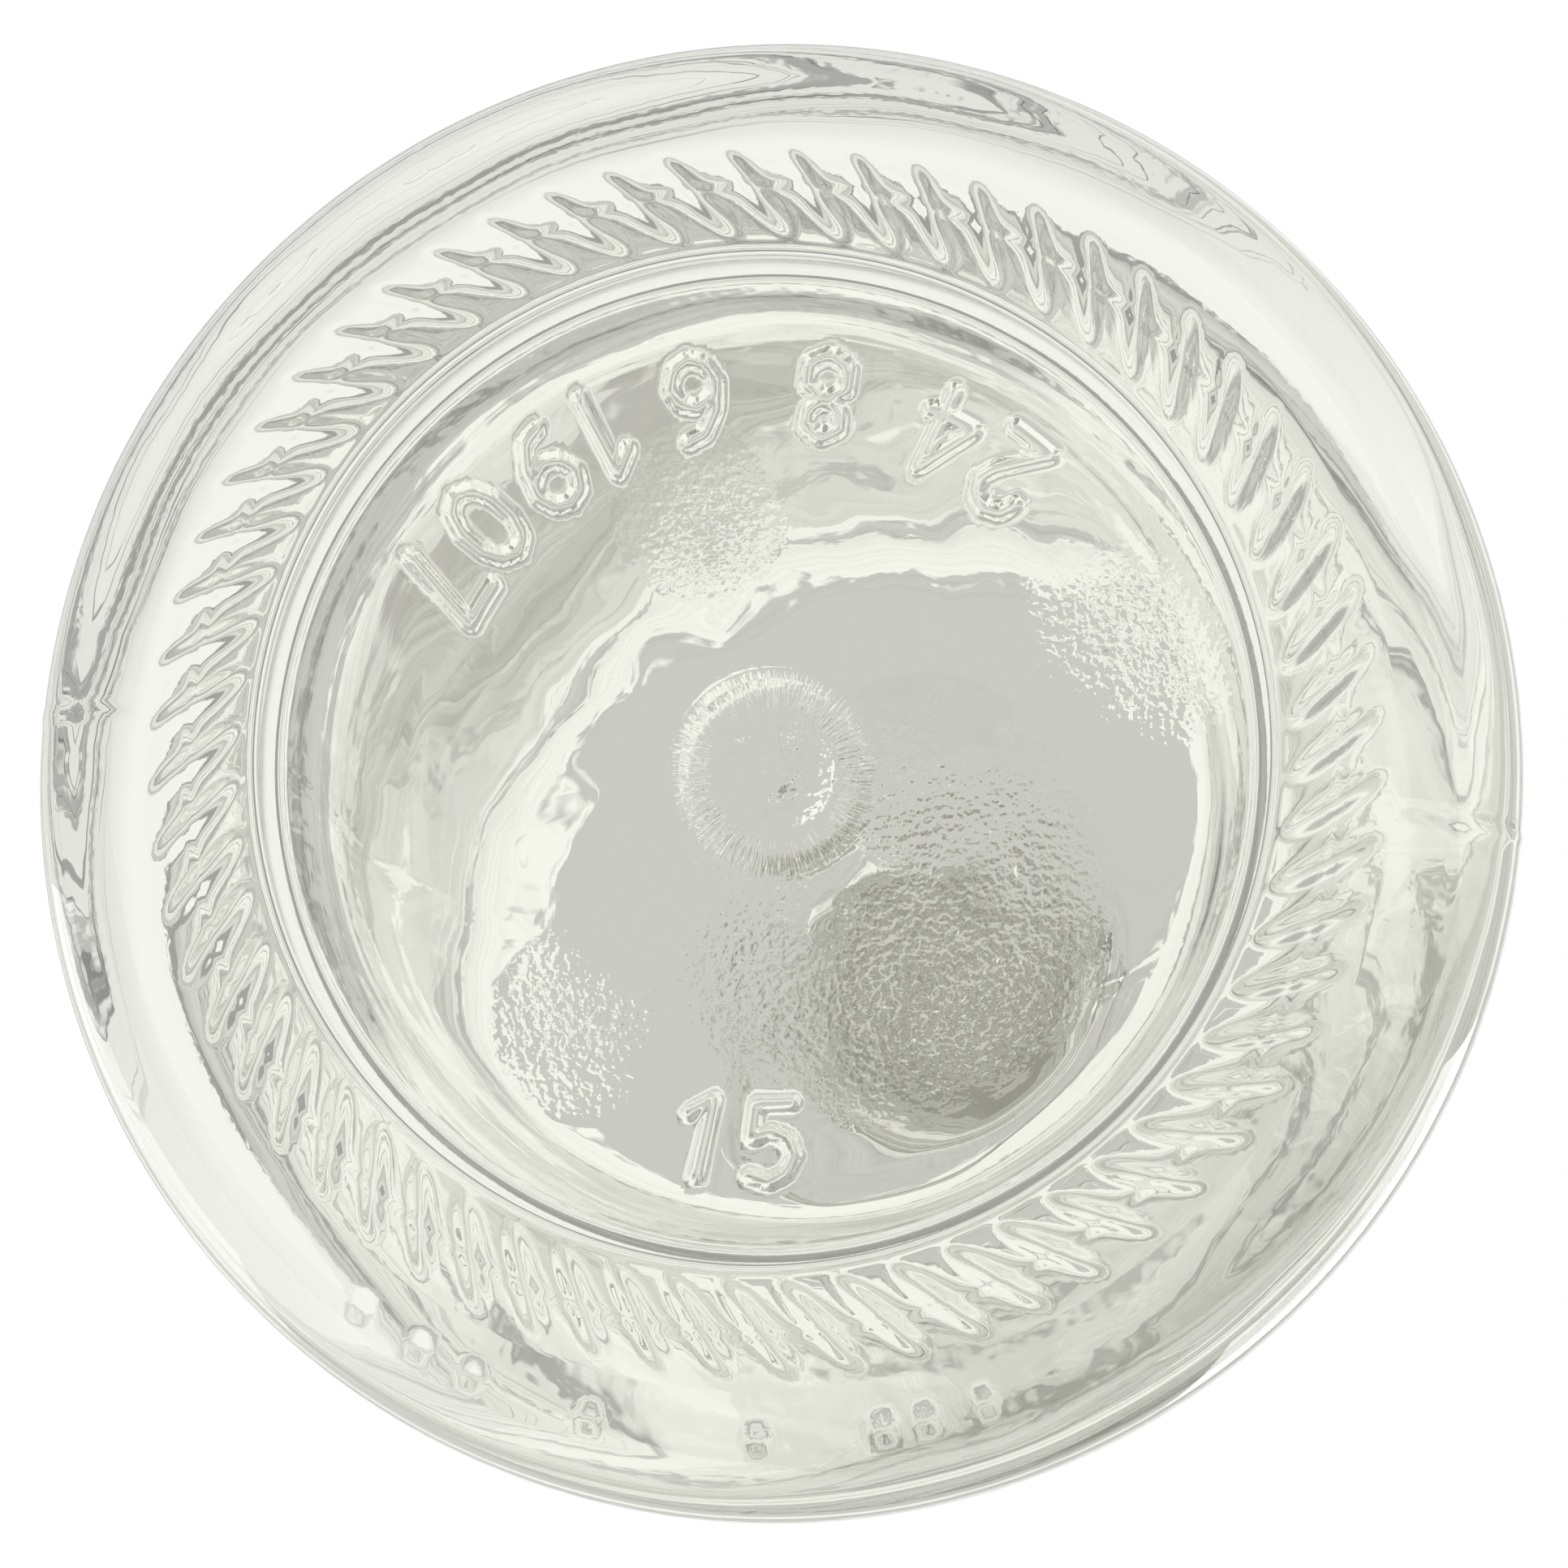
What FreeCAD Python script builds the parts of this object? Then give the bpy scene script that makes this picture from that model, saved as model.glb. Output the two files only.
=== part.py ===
import FreeCAD
import Part
import math
import os

from FreeCAD import Vector

# A clear glass bottle with a wire swing-top closure, shown shut.
# Millimetres, +Z up. The origin is the middle of the ring of knurls that the
# bottle stands on. The thumb lever hangs at the front, which is -Y.

# Side wall, shoulder and neck of the glass.
BODY_RADIUS = 41.5
BODY_WALL = 3.2
SHOULDER_HEIGHT = 150.0
SHOULDER_ROUND = 34.0
SHOULDER_RUN = 37.0
NECK_RADIUS = 15.6
NECK_ROUND = 46.0
NECK_LENGTH = 22.0
NECK_TOP_WALL = 3.1

# Foot of the glass: heel, bearing ring, step, push-up and floor.
HEEL_ROUND = 9.0
RING_WIDTH = 4.8
RING_STEP = 2.8
RING_FLANK = 0.9
RING_ROUND = 0.5
PUSH_UP = 10.0
BASE_THICKNESS = 4.1
FLOOR_CURVE = 60.0
FLOOR_ROUND = 10.0
CENTRE_MARK_RADIUS = 4.6
CENTRE_MARK_DEPTH = 0.2
CENTRE_MARK_SLOPE = 1.5
CENTRE_MARK_ROUND = 3.0

# Knurls: slanting lens-shaped bars, rubbed flat where the bottle stands.
KNURL_COUNT = 60
KNURL_OVERHANG = 1.1
KNURL_LENGTH = 6.9
KNURL_WIDTH = 1.9
KNURL_HEIGHT = 0.45
KNURL_LAND_WIDTH = 0.4
KNURL_ROOT = 0.3
KNURL_SLANT = 38.0

# Finish of the glass: bead, groove for the tie wire, lip and mouth.
MOUTH_RADIUS = 10.5
BEAD_WIDTH = 2.2
BEAD_HEIGHT = 4.5
BEAD_ROUND = 1.2
BEAD_UNDER_ROUND = 0.5
GROOVE_WALL = 2.1
GROOVE_SPARE = 0.5
GROOVE_ROUND = 0.7
LIP_WIDTH = 4.5
LIP_HEIGHT = 11.5
LIP_ROUND = 2.0
MOUTH_FLARE = 1.2
MOUTH_DEPTH = 24.0
MOUTH_BLEND = 12.0

# Tie wire round the groove, with an eye for the lever on each side.
TIE_WIRE_RADIUS = 0.9
TIE_CLEARANCE = 0.05
EYE_CLEARANCE = 0.1

# Lever and bail, both bent from one wire size.
WIRE_RADIUS = 1.1
BEND_RADIUS = 1.8
TRUNNION_GAP = 0.2
LEVER_ARM_GAP = 0.7
CRANK_LENGTH = 10.0
CRANK_PIN_LENGTH = 6.4
HANDLE_ELBOW_INSET = 1.2
HANDLE_ELBOW_Y = -14.0
HANDLE_ELBOW_DROP = 21.0
HANDLE_ELBOW_ROUND = 12.0
HANDLE_HALF_WIDTH = 10.0
HANDLE_Y = -31.0
HANDLE_DROP = 34.0
HANDLE_ROUND = 7.0
HOOK_CLEARANCE = 0.12
HOOK_TIP_GAP = 0.5
BAIL_BEND_RADIUS = 5.0

# Porcelain stopper and the rubber washer on its stem.
STOPPER_INSET = 1.5
STOPPER_HEIGHT = 16.0
STOPPER_TOP_ROUND = 7.0
STOPPER_EDGE_ROUND = 1.2
CROSS_HOLE_HEIGHT = 8.0
CROSS_HOLE_CLEARANCE = 0.1
STEM_STEP = 0.7
STEM_ROUND = 0.2
NUB_GAP = 3.3
NUB_DEPTH = 4.0
NUB_ROUND = 2.5
GASKET_INSET = 1.8
GASKET_HEIGHT = 3.0
GASKET_ROUND = 0.8
GASKET_EDGE_ROUND = 0.3
GASKET_CLEARANCE = 0.1
SEAL_GAP = 0.1

# Radii and heights that follow from the sizes above.
INNER_RADIUS = BODY_RADIUS - BODY_WALL
RING_OUTER_RADIUS = BODY_RADIUS - HEEL_ROUND
RING_INNER_RADIUS = RING_OUTER_RADIUS - RING_WIDTH
KNURL_REACH = KNURL_LENGTH / 2 * math.cos(math.radians(KNURL_SLANT))
KNURL_RADIUS = RING_OUTER_RADIUS + KNURL_OVERHANG - KNURL_REACH
NECK_TOP_RADIUS = MOUTH_RADIUS + NECK_TOP_WALL
GROOVE_RADIUS = MOUTH_RADIUS + GROOVE_WALL
BEAD_RADIUS = GROOVE_RADIUS + BEAD_WIDTH
LIP_RADIUS = MOUTH_RADIUS + LIP_WIDTH
TIE_EYE_RADIUS = WIRE_RADIUS + EYE_CLEARANCE + TIE_WIRE_RADIUS
GROOVE_HEIGHT = 2 * (TIE_EYE_RADIUS + TIE_WIRE_RADIUS + GROOVE_SPARE)
LEVER_ARM_X = LIP_RADIUS + LEVER_ARM_GAP + WIRE_RADIUS
STOPPER_RADIUS = LIP_RADIUS - STOPPER_INSET
GASKET_RADIUS = LIP_RADIUS - GASKET_INSET
NUB_RADIUS = MOUTH_RADIUS - NUB_GAP
STEM_RADIUS = NUB_RADIUS - STEM_STEP
NECK_HEIGHT = SHOULDER_HEIGHT + SHOULDER_RUN
BEAD_BOTTOM = NECK_HEIGHT + NECK_LENGTH
GROOVE_BOTTOM = BEAD_BOTTOM + BEAD_HEIGHT
PIVOT_HEIGHT = GROOVE_BOTTOM + GROOVE_HEIGHT / 2
LIP_BOTTOM = GROOVE_BOTTOM + GROOVE_HEIGHT
LIP_TOP = LIP_BOTTOM + LIP_HEIGHT
PIN_HEIGHT = PIVOT_HEIGHT - CRANK_LENGTH
GASKET_BOTTOM = LIP_TOP + SEAL_GAP
HEAD_BOTTOM = GASKET_BOTTOM + GASKET_HEIGHT
CROSS_HEIGHT = HEAD_BOTTOM + CROSS_HOLE_HEIGHT

ORIGIN = Vector(0, 0, 0)
UP = Vector(0, 0, 1)
ACROSS = Vector(1, 0, 0)


def at(radius, height):
    """A point of a turned profile."""
    return Vector(radius, 0, height)


def arc(start, middle, end):
    return Part.Arc(start, middle, end).toShape()


def rounded_run(corners):
    """Edges through (point, round) corners; each round is tangent to both its runs."""
    edges = []
    last = corners[0][0]
    for before, here, after in zip(corners, corners[1:], corners[2:]):
        corner, radius = here
        back = (before[0] - corner).normalize()
        ahead = (after[0] - corner).normalize()
        half = back.getAngle(ahead) / 2
        reach = radius / math.tan(half)
        start = corner + back * reach
        end = corner + ahead * reach
        inward = (back + ahead).normalize()
        middle = corner + inward * (radius / math.sin(half) - radius)
        edges.append(Part.makeLine(last, start))
        edges.append(arc(start, middle, end))
        last = end
    edges.append(Part.makeLine(last, corners[-1][0]))
    return edges


def turned(edges):
    """The solid swept by a closed profile round the upright axis."""
    return Part.Face(Part.Wire(edges)).revolve(ORIGIN, UP, 360)


def round_wire(edges, start, heading, radius):
    """A wire of round section bent along the edges."""
    section = Part.Wire(Part.makeCircle(radius, start, heading))
    bent = Part.Wire(edges).makePipeShell([section], True, False)
    return Part.Solid(bent.Shells[0])


def corner_slide(wall):
    """How far down a parallel inner wall turns before the outer one does."""
    cone = Vector(NECK_RADIUS - BODY_RADIUS, 0, SHOULDER_RUN)
    return wall * math.tan(cone.getAngle(UP) / 2)


# Underside of the base: a shallow dome with a round centre mark.
ring_level = KNURL_HEIGHT
step_radius = RING_INNER_RADIUS - RING_FLANK
step_top = ring_level + RING_STEP
rise = PUSH_UP - step_top
dome_curve = (step_radius ** 2 + rise ** 2) / (2 * rise)


def dome_height(radius):
    return PUSH_UP - dome_curve + math.sqrt(dome_curve ** 2 - radius ** 2)


mark_top = dome_height(CENTRE_MARK_RADIUS) + CENTRE_MARK_DEPTH
mark_edge = CENTRE_MARK_RADIUS + CENTRE_MARK_SLOPE
dome_start = at(mark_edge, dome_height(mark_edge))
dome_middle_radius = (mark_edge + step_radius) / 2
dome_middle = at(dome_middle_radius, dome_height(dome_middle_radius))
dome_end = at(step_radius, step_top)

base_edges = rounded_run([
    (at(0, mark_top), 0),
    (at(CENTRE_MARK_RADIUS, mark_top), CENTRE_MARK_ROUND),
    (dome_start, 0),
])
base_edges.append(arc(dome_start, dome_middle, dome_end))

# Inside of the base: a dome, and a round that is tangent to it and to the wall.
floor_crown = at(0, PUSH_UP + BASE_THICKNESS)
floor_centre = at(0, floor_crown.z - FLOOR_CURVE)
round_x = INNER_RADIUS - FLOOR_ROUND
round_z = floor_centre.z + math.sqrt((FLOOR_CURVE + FLOOR_ROUND) ** 2 - round_x ** 2)
round_centre = at(round_x, round_z)
outward = (round_centre - floor_centre).normalize()
floor_end = floor_centre + outward * FLOOR_CURVE
floor_middle = floor_centre + (outward + UP).normalize() * FLOOR_CURVE
wall_foot = at(INNER_RADIUS, round_z)
round_middle = round_centre + (ACROSS - outward).normalize() * FLOOR_ROUND
floor_edges = [
    arc(wall_foot, round_middle, floor_end),
    arc(floor_end, floor_middle, floor_crown),
]

# Outside of the glass from the step to the mouth, then down the inside.
shoulder_inside = SHOULDER_HEIGHT - corner_slide(BODY_WALL)
neck_inside = NECK_HEIGHT - corner_slide(BODY_WALL)

outside = [
    (dome_end, 0),
    (at(RING_INNER_RADIUS, ring_level), RING_ROUND),
    (at(BODY_RADIUS, ring_level), HEEL_ROUND),
    (at(BODY_RADIUS, SHOULDER_HEIGHT), SHOULDER_ROUND),
    (at(NECK_RADIUS, NECK_HEIGHT), NECK_ROUND),
    (at(NECK_TOP_RADIUS, BEAD_BOTTOM), GROOVE_ROUND),
    (at(BEAD_RADIUS, BEAD_BOTTOM), BEAD_UNDER_ROUND),
    (at(BEAD_RADIUS, GROOVE_BOTTOM), BEAD_ROUND),
    (at(GROOVE_RADIUS, GROOVE_BOTTOM), GROOVE_ROUND),
    (at(GROOVE_RADIUS, LIP_BOTTOM), GROOVE_ROUND),
    (at(LIP_RADIUS, LIP_BOTTOM), BEAD_ROUND),
    (at(LIP_RADIUS, LIP_TOP), LIP_ROUND),
    (at(MOUTH_RADIUS, LIP_TOP), MOUTH_FLARE),
]
inside = [
    (at(MOUTH_RADIUS, LIP_TOP - MOUTH_DEPTH), MOUTH_BLEND),
    (at(NECK_RADIUS - BODY_WALL, neck_inside), NECK_ROUND + BODY_WALL),
    (at(INNER_RADIUS, shoulder_inside), SHOULDER_ROUND - BODY_WALL),
    (wall_foot, 0),
]
wall_edges = rounded_run(outside + inside)
axis_edge = [Part.makeLine(floor_crown, at(0, mark_top))]
glass = turned(base_edges + wall_edges + floor_edges + axis_edge)

# Knurls on the bearing ring: two leaning sides that meet in a lens, with a land on the
# standing plane and a root in the glass.
knurl_run = (KNURL_WIDTH - KNURL_LAND_WIDTH) / 2
knurl_lean = knurl_run / KNURL_HEIGHT
knurl_bow = (KNURL_LENGTH ** 2 + KNURL_WIDTH ** 2) / (4 * KNURL_WIDTH)
root_bow = knurl_bow + KNURL_ROOT * knurl_lean
side_height = KNURL_HEIGHT + KNURL_ROOT
side_centre = Vector(0, knurl_bow - KNURL_WIDTH / 2, 0)
left_side = Part.makeCone(knurl_bow - knurl_run, root_bow, side_height, side_centre)
right_side = Part.makeCone(knurl_bow - knurl_run, root_bow, side_height, -side_centre)
knurl = left_side.common(right_side)
knurl.rotate(ORIGIN, UP, -KNURL_SLANT)
knurl.translate(Vector(KNURL_RADIUS, 0, 0))
knurls = []
for number in range(KNURL_COUNT):
    turned_knurl = knurl.copy()
    turned_knurl.rotate(ORIGIN, UP, 360.0 * number / KNURL_COUNT)
    knurls.append(turned_knurl)
glass_bottle = glass.fuse(knurls)
glass_bottle = Part.Solid(glass_bottle.Solids[0].Shells[0])

# Tie wire: two bows in the groove, joined by the two eyes.
bow_radius = GROOVE_RADIUS + TIE_CLEARANCE + TIE_WIRE_RADIUS
bow_end = math.degrees(math.asin(TIE_EYE_RADIUS / bow_radius))
eye = Part.makeTorus(TIE_EYE_RADIUS, TIE_WIRE_RADIUS, ORIGIN, ACROSS)
bow = Part.Face(Part.Wire(Part.makeCircle(TIE_WIRE_RADIUS, at(bow_radius, 0), Vector(0, 1, 0))))
bow.rotate(ORIGIN, UP, bow_end)
bow = bow.revolve(ORIGIN, UP, 180 - 2 * bow_end)
back_bow = bow.copy()
back_bow.rotate(ORIGIN, UP, 180)
right_eye = eye.copy()
right_eye.translate(Vector(bow_radius, 0, 0))
left_eye = eye.copy()
left_eye.translate(Vector(-bow_radius, 0, 0))
tie_wire = bow.fuse([back_bow, right_eye, left_eye])
tie_wire.translate(Vector(0, 0, PIVOT_HEIGHT))
tie_wire = Part.Solid(tie_wire.Solids[0].Shells[0])

# Lever: trunnion, crank, crank pin and arm on each side, joined by the thumb bow.
trunnion_end = GROOVE_RADIUS + TRUNNION_GAP
pin_x = LEVER_ARM_X + CRANK_PIN_LENGTH
elbow_x = pin_x - HANDLE_ELBOW_INSET
half_lever = [
    (Vector(trunnion_end, 0, PIVOT_HEIGHT), 0),
    (Vector(LEVER_ARM_X, 0, PIVOT_HEIGHT), BEND_RADIUS),
    (Vector(LEVER_ARM_X, 0, PIN_HEIGHT), BEND_RADIUS),
    (Vector(pin_x, 0, PIN_HEIGHT), BEND_RADIUS),
    (Vector(elbow_x, HANDLE_ELBOW_Y, PIVOT_HEIGHT - HANDLE_ELBOW_DROP), HANDLE_ELBOW_ROUND),
    (Vector(HANDLE_HALF_WIDTH, HANDLE_Y, PIVOT_HEIGHT - HANDLE_DROP), HANDLE_ROUND),
]
other_half = []
for point, radius in reversed(half_lever):
    other_half.append((Vector(-point.x, point.y, point.z), radius))
lever_wire = round_wire(rounded_run(half_lever + other_half), half_lever[0][0], ACROSS, WIRE_RADIUS)

# Bail: a hook round each crank pin, two legs and one bar through the stopper.
hook_x = (LEVER_ARM_X + pin_x) / 2
hook_radius = 2 * WIRE_RADIUS + HOOK_CLEARANCE
leg_length = CROSS_HEIGHT - PIN_HEIGHT
leg_angle = math.pi - math.asin(hook_radius / leg_length)
tip_side = hook_radius * math.cos(leg_angle) + 2 * WIRE_RADIUS + HOOK_TIP_GAP
tip_angle = 2 * math.pi + math.acos(tip_side / hook_radius)


def on_hook(side, angle):
    y = hook_radius * math.cos(angle)
    z = PIN_HEIGHT + hook_radius * math.sin(angle)
    return Vector(side * hook_x, y, z)


middle_angle = (leg_angle + tip_angle) / 2
right_hook = arc(on_hook(1, tip_angle), on_hook(1, middle_angle), on_hook(1, leg_angle))
left_hook = arc(on_hook(-1, leg_angle), on_hook(-1, middle_angle), on_hook(-1, tip_angle))
bail_run = rounded_run([
    (on_hook(1, leg_angle), 0),
    (Vector(hook_x, 0, CROSS_HEIGHT), BAIL_BEND_RADIUS),
    (Vector(-hook_x, 0, CROSS_HEIGHT), BAIL_BEND_RADIUS),
    (on_hook(-1, leg_angle), 0),
])
tip_heading = Vector(0, math.sin(tip_angle), -math.cos(tip_angle))
bail_edges = [right_hook] + bail_run + [left_hook]
bail_wire = round_wire(bail_edges, on_hook(1, tip_angle), tip_heading, WIRE_RADIUS)

# Stopper: domed head, stem for the washer, and a nub that finds the mouth.
nub_top = GASKET_BOTTOM - GASKET_CLEARANCE
stopper = turned(rounded_run([
    (at(0, LIP_TOP - NUB_DEPTH), 0),
    (at(NUB_RADIUS, LIP_TOP - NUB_DEPTH), NUB_ROUND),
    (at(NUB_RADIUS, nub_top), STEM_ROUND),
    (at(STEM_RADIUS, nub_top), STEM_ROUND),
    (at(STEM_RADIUS, HEAD_BOTTOM), STEM_ROUND),
    (at(STOPPER_RADIUS, HEAD_BOTTOM), STOPPER_EDGE_ROUND),
    (at(STOPPER_RADIUS, HEAD_BOTTOM + STOPPER_HEIGHT), STOPPER_TOP_ROUND),
    (at(0, HEAD_BOTTOM + STOPPER_HEIGHT), 0),
]) + [Part.makeLine(at(0, HEAD_BOTTOM + STOPPER_HEIGHT), at(0, LIP_TOP - NUB_DEPTH))])
hole_radius = WIRE_RADIUS + CROSS_HOLE_CLEARANCE
hole_start = Vector(-LIP_RADIUS, 0, CROSS_HEIGHT)
stopper = stopper.cut(Part.makeCylinder(hole_radius, 2 * LIP_RADIUS, hole_start, ACROSS))

# Washer: sits on the stem and closes on the flat of the lip.
washer_hole = STEM_RADIUS + GASKET_CLEARANCE
washer_edges = rounded_run([
    (at(washer_hole, HEAD_BOTTOM), 0),
    (at(washer_hole, GASKET_BOTTOM), GASKET_EDGE_ROUND),
    (at(GASKET_RADIUS, GASKET_BOTTOM), GASKET_ROUND),
    (at(GASKET_RADIUS, HEAD_BOTTOM), GASKET_EDGE_ROUND),
    (at(washer_hole, HEAD_BOTTOM), 0),
])
gasket = turned(washer_edges)

os.makedirs("parts", exist_ok=True)
nodes = {
    "glass_bottle": glass_bottle,
    "tie_wire": tie_wire,
    "lever_wire": lever_wire,
    "bail_wire": bail_wire,
    "stopper": stopper,
    "gasket": gasket,
}
for name, shape in nodes.items():
    solid = shape.Solids[0]
    solid.exportStep("parts/" + name + ".step")
    print(name, len(shape.Solids), solid.isValid(), round(solid.Volume, 1), solid.BoundBox)
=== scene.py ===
# %% [markdown]
# # A clear glass bottle with a swing top, looked at from below
# The picture looks straight up at the foot of the bottle: the heel, a ring of slanting
# knurls, a step, and a pushed-up base with raised marks. The solids come from the frame,
# so nothing here has to be measured again. This lesson draws the glass finely enough for
# light to bend through it, gives each piece its finish, and sets up the studio.

# %% Load the frame
import math

import bpy
import numpy as np
from mathutils import Matrix, Vector


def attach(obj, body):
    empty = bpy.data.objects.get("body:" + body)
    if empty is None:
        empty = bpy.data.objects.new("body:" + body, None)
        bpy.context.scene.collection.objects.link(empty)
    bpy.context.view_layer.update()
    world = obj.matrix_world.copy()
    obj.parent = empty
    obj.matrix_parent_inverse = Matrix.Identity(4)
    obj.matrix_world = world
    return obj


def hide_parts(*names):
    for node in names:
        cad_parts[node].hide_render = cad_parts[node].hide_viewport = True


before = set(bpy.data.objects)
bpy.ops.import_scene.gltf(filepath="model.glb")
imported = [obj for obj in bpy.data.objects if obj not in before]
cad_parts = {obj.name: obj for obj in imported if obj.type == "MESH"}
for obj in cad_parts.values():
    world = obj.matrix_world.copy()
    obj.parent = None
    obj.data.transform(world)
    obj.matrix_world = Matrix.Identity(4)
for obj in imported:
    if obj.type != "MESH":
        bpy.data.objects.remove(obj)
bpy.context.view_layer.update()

MM = 0.001
scene = bpy.context.scene
print("pieces in the frame:", sorted(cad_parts))

# %% [markdown]
# ## The section of the glass
# A bottle is a turned shape, so one section line describes nearly all of it. The solid in
# the frame has that section too, with facets that suit a library part. Clear glass acts as
# a lens and shows every facet, so the line is drawn again here from the same sizes, and
# sampled closely where the picture looks. A spin modifier would also turn it, but then the
# knurls and marks could not be pressed into the same skin.

# %% Sizes of the glass, in millimetres
BODY_RADIUS = 41.5
WALL = 3.2
INNER_RADIUS = BODY_RADIUS - WALL
SHOULDER_HEIGHT = 150.0
SHOULDER_ROUND = 34.0
NECK_HEIGHT = 187.0
NECK_ROUND = 46.0
NECK_FOOT_RADIUS = 15.6
NECK_RADIUS = 13.6
BEAD_BOTTOM = 209.0
BEAD_RADIUS = 14.8
GROOVE_BOTTOM = 213.5
GROOVE_RADIUS = 12.6
LIP_BOTTOM = 220.5
LIP_TOP = 232.0
LIP_RADIUS = 15.0
MOUTH_RADIUS = 10.5
MOUTH_END = LIP_TOP - 24.0
print("body is", 2 * BODY_RADIUS, "mm across and the lip is at", LIP_TOP, "mm")

# %% Sizes of the foot, in millimetres
RING_LEVEL = 0.45
RING_INNER = 27.7
STEP_TOP = 3.25
STEP_RADIUS = 26.8
HEEL_ROUND = 9.0
PUSH_UP = 10.0
MARK_RADIUS = 4.6
MARK_EDGE = 6.1
MARK_DEPTH = 0.2
FLOOR_CROWN = 14.1
FLOOR_CURVE = 60.0
FLOOR_ROUND = 10.0
dome_rise = PUSH_UP - STEP_TOP
DOME_CURVE = (STEP_RADIUS ** 2 + dome_rise ** 2) / (2 * dome_rise)
print("base plate is", round(FLOOR_CROWN - PUSH_UP, 1), "mm thick at the middle")
print("dome under the base curves at", round(DOME_CURVE, 1), "mm")


# %% A line with rounded corners
def unit(v):
    return v / np.linalg.norm(v)


def rounded_line(corners, points_per_round=24):
    """Points through (radius, height, round) corners, tangent at each round."""
    points = [np.array(corners[0][:2], float)]
    for before, here, after in zip(corners, corners[1:], corners[2:]):
        corner = np.array(here[:2], float)
        if here[2] == 0:
            points.append(corner)
            continue
        back = unit(np.array(before[:2], float) - corner)
        ahead = unit(np.array(after[:2], float) - corner)
        half = math.acos(np.clip(back @ ahead, -1, 1)) / 2
        reach = here[2] / math.tan(half)
        middle = corner + unit(back + ahead) * here[2] / math.sin(half)
        start = corner + back * reach - middle
        end = corner + ahead * reach - middle
        for share in np.linspace(0, 1, points_per_round):
            points.append(middle + unit(start * (1 - share) + end * share) * here[2])
    points.append(np.array(corners[-1][:2], float))
    return np.array(points)


print("a square corner takes", len(rounded_line([(0, 0, 0), (9, 0, 2), (9, 9, 0)])), "points")


# %% The base and the foot
def dome_height(radius):
    return PUSH_UP - DOME_CURVE + math.sqrt(DOME_CURVE ** 2 - radius ** 2)


def dome_points(first, last, count=40):
    return [(r, dome_height(r), 0) for r in np.linspace(first, last, count)]


FINE_FROM = 17.4
WALL_START = RING_LEVEL + HEEL_ROUND + 1.4
mark_top = dome_height(MARK_RADIUS) + MARK_DEPTH
middle_line = rounded_line(
    [(0, mark_top, 0), (MARK_RADIUS, mark_top, 3.0), (MARK_EDGE, dome_height(MARK_EDGE), 2.0)]
    + dome_points(MARK_EDGE + 0.8, FINE_FROM)
)
foot_line = rounded_line(
    dome_points(FINE_FROM, STEP_RADIUS - 1.2)
    + [
        (STEP_RADIUS, STEP_TOP, 0.9),
        (RING_INNER, RING_LEVEL, 0.6),
        (BODY_RADIUS, RING_LEVEL, HEEL_ROUND),
        (BODY_RADIUS, WALL_START, 0),
    ]
)
print("points from the middle to the wall:", len(middle_line) + len(foot_line))

# %% The outside of the wall, up to the mouth
outer_line = rounded_line([
    (BODY_RADIUS, WALL_START, 0),
    (BODY_RADIUS, SHOULDER_HEIGHT, SHOULDER_ROUND),
    (NECK_FOOT_RADIUS, NECK_HEIGHT, NECK_ROUND),
    (NECK_RADIUS, BEAD_BOTTOM, 0.7),
    (BEAD_RADIUS, BEAD_BOTTOM, 0.5),
    (BEAD_RADIUS, GROOVE_BOTTOM, 1.2),
    (GROOVE_RADIUS, GROOVE_BOTTOM, 0.7),
    (GROOVE_RADIUS, LIP_BOTTOM, 0.7),
    (LIP_RADIUS, LIP_BOTTOM, 1.2),
    (LIP_RADIUS, LIP_TOP, 2.0),
    (MOUTH_RADIUS, LIP_TOP, 1.2),
    (MOUTH_RADIUS, MOUTH_END, 0),
])
print("points up to the mouth:", len(outer_line))

# %% The inside, down to the middle of the floor
shoulder_lean = math.atan2(BODY_RADIUS - NECK_FOOT_RADIUS, NECK_HEIGHT - SHOULDER_HEIGHT)
slide = WALL * math.tan(shoulder_lean / 2)
floor_centre = np.array([0, FLOOR_CROWN - FLOOR_CURVE])
round_x = INNER_RADIUS - FLOOR_ROUND
round_z = floor_centre[1] + math.sqrt((FLOOR_CURVE + FLOOR_ROUND) ** 2 - round_x ** 2)
lean = unit(np.array([round_x, round_z]) - floor_centre)
floor_edge = math.atan2(lean[0], lean[1])
round_points = [
    np.array([round_x, round_z]) + FLOOR_ROUND * np.array([math.cos(a), -math.sin(a)])
    for a in np.linspace(0, math.pi / 2 + floor_edge, 40)
]
floor_points = [
    floor_centre + FLOOR_CURVE * np.array([math.sin(a), math.cos(a)])
    for a in np.linspace(floor_edge, 0, 40)
]
inner_line = np.array(list(rounded_line([
    (MOUTH_RADIUS, MOUTH_END, 0),
    (NECK_FOOT_RADIUS - WALL, NECK_HEIGHT - slide, NECK_ROUND + WALL),
    (INNER_RADIUS, SHOULDER_HEIGHT - slide, SHOULDER_ROUND - WALL),
    (INNER_RADIUS, round_z, 0),
])) + round_points[1:] + floor_points[1:])
print("points inside:", len(inner_line))


# %% Rows along a section line
def rows_along(line, spacing):
    """Points along the line, spacing(radius, height) apart."""
    steps = np.linalg.norm(np.diff(line, axis=0), axis=1)
    keep = np.r_[True, steps > 1e-9]
    line, along = line[keep], np.r_[0, np.cumsum(steps[keep[1:]])]
    places = [0.0]
    while places[-1] < along[-1]:
        r = np.interp(places[-1], along, line[:, 0])
        z = np.interp(places[-1], along, line[:, 1])
        places.append(places[-1] + spacing(r, z))
    places = np.array(places) * along[-1] / places[-1]
    return np.stack([np.interp(places, along, line[:, k]) for k in (0, 1)], axis=1)


def middle_spacing(r, z):
    return 0.3 if r < 7 else 0.6


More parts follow.
